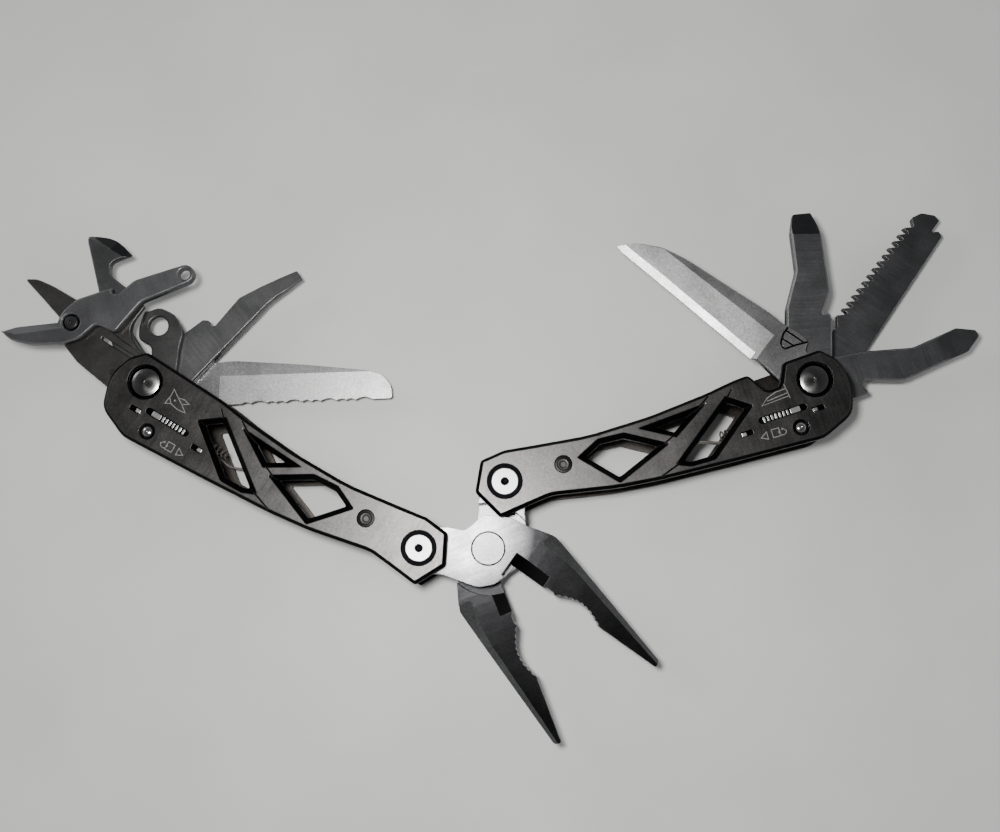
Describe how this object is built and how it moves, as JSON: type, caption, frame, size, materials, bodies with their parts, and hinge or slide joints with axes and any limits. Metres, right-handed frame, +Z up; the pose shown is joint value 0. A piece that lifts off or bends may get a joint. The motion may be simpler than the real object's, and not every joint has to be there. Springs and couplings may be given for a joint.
{
  "type": "folding multi tool",
  "caption": "Folding pocket multi tool lying open: needle nose pliers between two channel handles, with folding blades, drivers, openers, scissors and saw.",
  "frame": {"origin": "in the plane the tool lies on, below the middle of the open tool", "axes": "+X along the span of the open handles, from the scissors side to the saw side; +Y from the pliers noses towards the fanned tools; +Z up, away from the plane it lies on"},
  "size_m": [0.2369, 0.1282, 0.018],
  "materials": {
    "plate": "satin black coated steel",
    "tool": "satin dark steel",
    "blade": "satin bright steel",
    "saw": "dark steel",
    "jaw": "satin steel",
    "bright": "polished steel",
    "black": "black",
    "spring": "spring steel"
  },
  "bodies": {
    "jaw_right": {"jaw_right": "jaw", "pliers_rivet": "bright"},
    "jaw_left": {"jaw_left": "jaw"},
    "left_handle": {"left_plate_top": "plate", "left_plate_bottom": "plate", "left_pliers_pivot_screw": "bright", "left_pliers_pivot_nut": "bright", "left_tool_pivot_screw": "bright", "left_tool_pivot_nut": "bright", "left_mid_screw_top": "black", "left_mid_screw_bottom": "black", "left_lock_pin": "bright", "left_leaf_spring": "spring", "left_lock_spring": "spring"},
    "right_handle": {"right_plate_top": "plate", "right_plate_bottom": "plate", "right_pliers_pivot_screw": "bright", "right_pliers_pivot_nut": "bright", "right_tool_pivot_screw": "bright", "right_tool_pivot_nut": "bright", "right_mid_screw_top": "black", "right_mid_screw_bottom": "black", "right_lock_pin": "bright", "right_leaf_spring": "spring", "right_lock_spring": "spring"},
    "left_lock": {"left_lock_slide_top": "bright", "left_lock_slide_bottom": "bright", "left_lock_bar": "tool"},
    "right_lock": {"right_lock_slide_top": "bright", "right_lock_slide_bottom": "bright", "right_lock_bar": "tool"},
    "scissors_base": {"scissors_base": "tool", "scissors_screw": "tool", "scissors_stud": "black"},
    "scissors_lever": {"scissors_lever": "tool"},
    "can_opener": {"can_opener": "tool"},
    "lanyard_loop": {"lanyard_loop": "tool"},
    "bottle_opener": {"bottle_opener": "tool"},
    "serrated_blade": {"serrated_blade": "blade"},
    "knife_blade": {"knife_blade": "blade"},
    "flat_driver": {"flat_driver": "tool"},
    "phillips_driver": {"phillips_driver": "tool"},
    "saw_blade": {"saw_blade": "saw"}
  },
  "joints": [
    {"name": "pliers_hinge", "type": "hinge", "parent": "jaw_right", "child": "jaw_left", "pos_m": [-0.001, -0.0193, 0], "axis": [0, 0, 1], "range_deg": [0, 33.6]},
    {"name": "left_handle_hinge", "type": "hinge", "parent": "jaw_right", "child": "left_handle", "pos_m": [-0.017, -0.0193, 0], "axis": [0, 0, 1], "range_deg": [0, 171.9]},
    {"name": "right_handle_hinge", "type": "hinge", "parent": "jaw_left", "child": "right_handle", "pos_m": [0.00298, -0.0038, 0], "axis": [0, 0, -1], "range_deg": [-88.5, 83.4]},
    {"name": "scissors_hinge", "type": "hinge", "parent": "left_handle", "child": "scissors_base", "pos_m": [-0.08249, 0.02005, 0], "axis": [0, 0, -1], "range_deg": [-6.9, 173.1]},
    {"name": "scissors_lever_hinge", "type": "hinge", "parent": "scissors_base", "child": "scissors_lever", "pos_m": [-0.10214, 0.03535, 0], "axis": [0, 0, -1], "range_deg": [0, 47], "stiffness_Nm_per_rad": 0.05, "springref_deg": -5.73},
    {"name": "can_opener_hinge", "type": "hinge", "parent": "left_handle", "child": "can_opener", "pos_m": [-0.08249, 0.02005, 0], "axis": [0, 0, -1], "range_deg": [-36, 138]},
    {"name": "lanyard_hinge", "type": "hinge", "parent": "left_handle", "child": "lanyard_loop", "pos_m": [-0.08249, 0.02005, 0], "axis": [0, 0, -1], "range_deg": [-60.2, 109.8]},
    {"name": "bottle_opener_hinge", "type": "hinge", "parent": "left_handle", "child": "bottle_opener", "pos_m": [-0.08249, 0.02005, 0], "axis": [0, 0, -1], "range_deg": [-110.2, 69.8]},
    {"name": "serrated_hinge", "type": "hinge", "parent": "left_handle", "child": "serrated_blade", "pos_m": [-0.08249, 0.02005, 0], "axis": [0, 0, -1], "range_deg": [-150.4, 28.1]},
    {"name": "knife_hinge", "type": "hinge", "parent": "right_handle", "child": "knife_blade", "pos_m": [0.0756, 0.01993, 0], "axis": [0, 0, 1], "range_deg": [-125.6, 52.9]},
    {"name": "flat_driver_hinge", "type": "hinge", "parent": "right_handle", "child": "flat_driver", "pos_m": [0.0756, 0.01993, 0], "axis": [0, 0, 1], "range_deg": [-72.3, 105.2]},
    {"name": "phillips_hinge", "type": "hinge", "parent": "right_handle", "child": "phillips_driver", "pos_m": [0.0756, 0.01993, 0], "axis": [0, 0, 1], "range_deg": [0, 180.8]},
    {"name": "saw_hinge", "type": "hinge", "parent": "right_handle", "child": "saw_blade", "pos_m": [0.0756, 0.01993, 0], "axis": [0, 0, 1], "range_deg": [-36.1, 141]},
    {"name": "left_lock_slide", "type": "slide", "parent": "left_handle", "child": "left_lock", "axis": [-0.8572, 0.515, 0], "range_m": [0, 0.0012], "stiffness_N_per_m": 300},
    {"name": "right_lock_slide", "type": "slide", "parent": "right_handle", "child": "right_lock", "axis": [0.9505, 0.3107, 0], "range_m": [0, 0.0012], "stiffness_N_per_m": 300}
  ]
}
